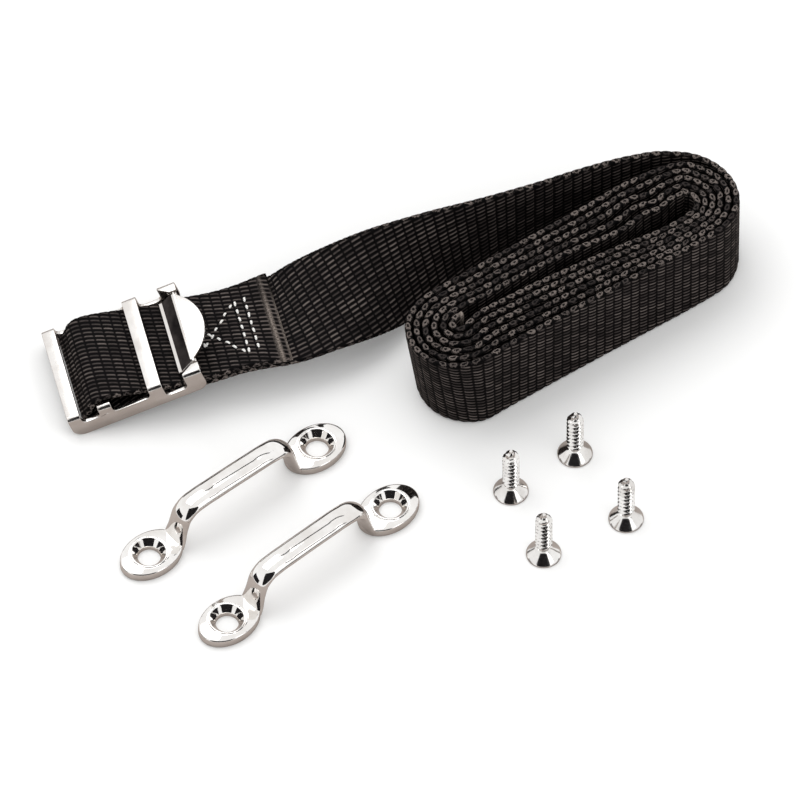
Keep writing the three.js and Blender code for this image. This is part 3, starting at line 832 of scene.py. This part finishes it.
LOOP_BAR = {"half_width": 3.0, "half_thick": 1.6, "foot_width": 3.5}
LOOP_RISE = [(17.9, 0.95), (17.35, 2.4), (16.8, 4.3), (16.2, 6.6), (15.15, 9.4),
             (13.2, 11.0), (10.5, 11.5), (6, 11.6)]
PAD = {"centre": 24.7, "length": 16.6, "width": 11.8, "thick": 3.0}
HOLE = {"at": 25.4, "radius": 2.75, "sink": 4.1, "depth": 1.75, "rim": 0.45}


def loop_bar():
    left = [(-x, 0, z) for x, z in LOOP_RISE]
    right = [(x, 0, z) for x, z in LOOP_RISE][::-1]
    path = spline(left + right, 0.4)
    travel = unit(np.gradient(path, axis=0))
    across = np.array([0, 1.0, 0])
    sides = 40
    angle = (np.arange(sides) + 0.5) * 2 * math.pi / sides
    rings = []
    for point, direction in zip(path, travel):
        normal = np.cross(direction, across)
        low = 1 - smoothstep(point[2], 1.5, 7.5)
        width = LOOP_BAR["half_width"] + (LOOP_BAR["foot_width"] - LOOP_BAR["half_width"]) * low**1.6
        thick = LOOP_BAR["half_thick"] * (1 - 0.25 * low)
        # A D section: rounder above than below.
        squash = np.where(np.sin(angle) > 0, 1.0, 0.8)
        rings.append(point + np.outer(np.cos(angle) * width, across)
                     + np.outer(np.sin(angle) * thick * squash, normal))
    return np.vstack(rings), loft_faces(len(rings), sides)


def loop_pad(side):
    """Oval pad: underside, rounded outer edge, domed top, a raised ring, the countersink and the
    hole, as one closed band of rings round the hole."""
    sectors = 72
    angle = turn_angles(sectors)
    shift = PAD["centre"] - HOLE["at"]
    a, b, t = PAD["length"] / 2, PAD["width"] / 2, PAD["thick"]
    oval = np.column_stack([shift + a * np.cos(angle), b * np.sin(angle)])
    circle = np.column_stack([np.cos(angle), np.sin(angle)])
    dome, shoulder = 0.55, 2.32
    rings = []

    def between(radius, share, height):
        ring = circle * radius * (1 - share) + oval * share
        rings.append(np.column_stack([ring, np.full(sectors, height)]))

    between(HOLE["radius"], 0, 0.0)
    between(HOLE["radius"], 0.5, 0.0)
    for inset, height in ((0.86, 0.0), (0.95, 0.12), (0.99, 0.45), (1.0, 0.9), (1.0, 1.4),
                          (0.985, 1.85), (0.955, 2.15), (0.91, shoulder)):
        between(HOLE["sink"], inset, height)
    rim = HOLE["sink"] + HOLE["rim"]
    for share in (0.75, 0.55, 0.35, 0.18, 0.06):
        between(rim, share, shoulder + (t - shoulder - dome * 0.3) * (1 - share) ** 1.3)
    between(rim, 0, t - 0.22)
    between(rim - 0.12, 0, t - 0.04)
    between(rim - 0.3, 0, t)
    between(HOLE["sink"], 0, t - 0.06)
    between(HOLE["sink"] - 0.12, 0, t - 0.22)
    between(HOLE["radius"] + 0.16, 0, t - HOLE["depth"] + 0.1)
    between(HOLE["radius"] + 0.03, 0, t - HOLE["depth"] - 0.06)
    between(HOLE["radius"], 0, t - HOLE["depth"] - 0.25)
    points = np.vstack(rings)
    points[:, 0] = side * (points[:, 0] + HOLE["at"])
    return points, loft_faces(len(rings), sectors, closed=True)


def build_loop(number, x, y, heading):
    def placed(name, shape):
        points, faces = shape
        return make_object(name, rotated(points, math.radians(heading), (x, y)), faces, CHROME)

    bar = placed(f"loop_{number}_polished", loop_bar())
    pads = [placed(f"loop_{number}_pad_{side}", loop_pad(side)) for side in (-1, 1)]
    join_solids(bar, *pads)
    shade(bar, 42)
    return bar


# ---- Screws -------------------------------------------------------------------------------------

SCREW = {"head": 4.2, "rim": 0.45, "cone_top": 2.75, "root": 1.35, "crest": 2.08, "pitch": 1.41,
         "length": 16.0}
RECESS = {"arm": 2.15, "half_width": 0.5, "depth": 1.75, "floor": 0.55}


def screw_body(turn):
    """Countersunk head down, shank up: rings whose radius follows a helical thread."""
    sectors = 48
    angle = turn_angles(sectors)
    s = SCREW
    rings = [(0.02, 0.0), (s["head"] - 0.35, 0.0), (s["head"] - 0.12, 0.03), (s["head"], 0.14),
             (s["head"], s["rim"] - 0.06), (s["head"] - 0.1, s["rim"] + 0.08)]
    plain = [np.column_stack([r * np.cos(angle), r * np.sin(angle), np.full(sectors, z)])
             for r, z in rings]
    for z in np.linspace(s["rim"] + 0.35, s["cone_top"] - 0.25, 8):
        share = (z - s["rim"]) / (s["cone_top"] - s["rim"])
        r = s["head"] + (s["root"] + 0.25 - s["head"]) * share
        plain.append(np.column_stack([r * np.cos(angle), r * np.sin(angle), np.full(sectors, z)]))
    shank = []
    for z in np.arange(s["cone_top"], s["length"] - 0.02, 0.11):
        phase = (z / s["pitch"] - (angle + turn) / (2 * math.pi)) % 1
        tooth = np.clip(1 - np.abs(phase - 0.5) / 0.3, 0, 1) ** 0.8
        start = smoothstep(z, s["cone_top"] + 0.2, s["cone_top"] + 1.3)
        tip = smoothstep(z, s["length"] - 3.0, s["length"])
        blunt = 1 - 0.75 * tip**1.7
        r = (s["root"] + (s["crest"] - s["root"]) * tooth * start) * blunt
        shank.append(np.column_stack([r * np.cos(angle), r * np.sin(angle), np.full(sectors, z)]))
    rings = plain + shank
    return np.vstack(rings), loft_faces(len(rings), sectors)


def cross_recess(turn):
    """Tapered cross to cut into the head's flat face."""
    arm, half = RECESS["arm"], RECESS["half_width"]
    outline = []
    for k in range(4):
        c, s = math.cos(turn + k * math.pi / 2), math.sin(turn + k * math.pi / 2)
        outline += [(c * x - s * y, s * x + c * y) for x, y in ((arm, -half), (arm, half), (half, half))]
    outline = np.array(outline)
    low = np.column_stack([outline * 1.04, np.full(12, -0.5)])
    high = np.column_stack([outline * RECESS["floor"], np.full(12, RECESS["depth"])])
    return np.vstack([low, high]), loft_faces(2, 12)


def build_screw(number, x, y):
    turn = 2.4 + 0.9 * number
    points, faces = screw_body(turn)
    body = make_object(f"screw_{number}_threaded", rotated(points, 0, (x, y)), faces, STEEL)
    points, faces = cross_recess(turn)
    tool = make_object(f"screw_{number}_recess", rotated(points, 0, (x, y)), faces, STEEL)
    join_solids(body, tool, operation="DIFFERENCE")
    shade(body, 50)
    return body


# ---- Pieces in place ----------------------------------------------------------------------------

strap = build_strap()
stitches = build_stitches()
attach(strap, "root")
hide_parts("strap_end", "strap_run", "strap_coil")
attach(stitches, "root")
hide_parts("stitching")

buckle_frame = refined("buckle_frame", "stamped_frame", NICKEL, 0.16)
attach(buckle_frame, "root")
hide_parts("buckle_frame")

buckle_lever = refined("buckle_lever", "cam_lever", NICKEL, 0.14)
# Faces of the slanted plate take the painted reflection.
paint_cam_face_reflection(buckle_lever)
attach(buckle_lever, "lever")
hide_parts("buckle_lever")

pin = build_pin()
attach(pin, "root")
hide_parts("lever_pin")

spring = build_spring()
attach(spring, "lever")
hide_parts("lever_spring")

for number, (x, y, heading) in enumerate(LOOPS_AT, 1):
    loop = build_loop(number, x, y, heading)
    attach(loop, "root")
    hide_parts(f"footman_loop_{number}")

for number, (x, y) in enumerate(SCREWS_AT, 1):
    piece = build_screw(number, x, y)
    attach(piece, "root")
    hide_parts(f"screw_{number}")

# ---- Studio -------------------------------------------------------------------------------------


def plain_material(name, colour, roughness=0.8):
    material = bpy.data.materials.new(name)
    material.use_nodes = True
    shader = material.node_tree.nodes["Principled BSDF"]
    shader.inputs["Base Color"].default_value = (*colour, 1)
    shader.inputs["Roughness"].default_value = roughness
    shader.inputs["Specular IOR Level"].default_value = 0.1
    return material


def make_floor():
    size = 1.1
    mesh = bpy.data.meshes.new("studio_floor")
    corners = [(-size, -size, 0), (size, -size, 0), (size, size, 0), (-size, size, 0)]
    mesh.from_pydata(corners, [], [(0, 1, 2, 3)])
    mesh.materials.append(plain_material("pale_floor", (0.92, 0.92, 0.915)))
    floor = bpy.data.objects.new("studio_floor", mesh)
    bpy.context.scene.collection.objects.link(floor)


DARK_CARD = (0.012, 0.011, 0.012)
# Greige for a card under the pieces that only polished metal sees: painted shade of the floor round them,
# shown in their reflections.
SHADED_FLOOR_CARD = (0.4, 0.355, 0.33)


def make_card(name, centre, size, facing, colour=DARK_CARD):
    """A card that only polished metal sees, so that its reflections have something to show."""
    w, h = size[0] / 2, size[1] / 2
    mesh = bpy.data.meshes.new(name)
    mesh.from_pydata([(-w, -h, 0), (w, -h, 0), (w, h, 0), (-w, h, 0)], [], [(0, 1, 2, 3)])
    mesh.materials.append(plain_material(name + "_paint", colour, 1.0))
    card = bpy.data.objects.new(name, mesh)
    bpy.context.scene.collection.objects.link(card)
    card.location = centre
    card.rotation_euler = (Vector(facing) - Vector(centre)).to_track_quat("Z", "Y").to_euler()
    for ray in ("camera", "diffuse", "shadow", "transmission"):
        setattr(card, "visible_" + ray, False)


def make_light(name, location, size, power):
    data = bpy.data.lights.new(name, "AREA")
    data.shape = "RECTANGLE"
    data.size, data.size_y = size
    data.energy = power
    light = bpy.data.objects.new(name, data)
    bpy.context.scene.collection.objects.link(light)
    light.location = location
    light.rotation_euler = (-Vector(location)).to_track_quat("-Z", "Y").to_euler()


def make_world():
    world = bpy.data.worlds.new("studio_world")
    world.use_nodes = True
    background = world.node_tree.nodes["Background"]
    background.inputs["Color"].default_value = (1, 1, 1, 1)
    background.inputs["Strength"].default_value = 1.0
    bpy.context.scene.world = world


make_floor()
make_world()
make_light("soft_key", (-0.35, 0.35, 1.1), (0.9, 0.7), 4.0)
make_light("soft_fill", (0.7, -0.5, 0.9), (0.6, 0.6), 1.0)
make_card("front_card", (0.0, -0.86, 0.6), (1.3, 1.15), (0, 0, 0))
make_card("left_card", (-0.95, -0.25, 0.16), (0.7, 0.36), (0, 0, 0.05))
make_card("right_card", (0.9, -0.35, 0.12), (1.0, 0.26), (0, 0, 0.05))
make_card("back_card", (0.0, 0.95, 0.1), (1.6, 0.2), (0, 0, 0.05))
make_card("streak_card_1", (0.11, 0.57, 1.05), (0.5, 0.07), (0, 0, 0))
make_card("streak_card_2", (0.8, -0.28, 0.85), (0.08, 0.5), (0, 0, 0))
# Painted shade of the floor under the pieces, seen only in the metal's reflections.
make_card("shaded_floor_card", (0, 0, 0.00005), (0.5, 0.5), (0, 0, 1), SHADED_FLOOR_CARD)

bpy.context.scene.view_settings.view_transform = "Standard"
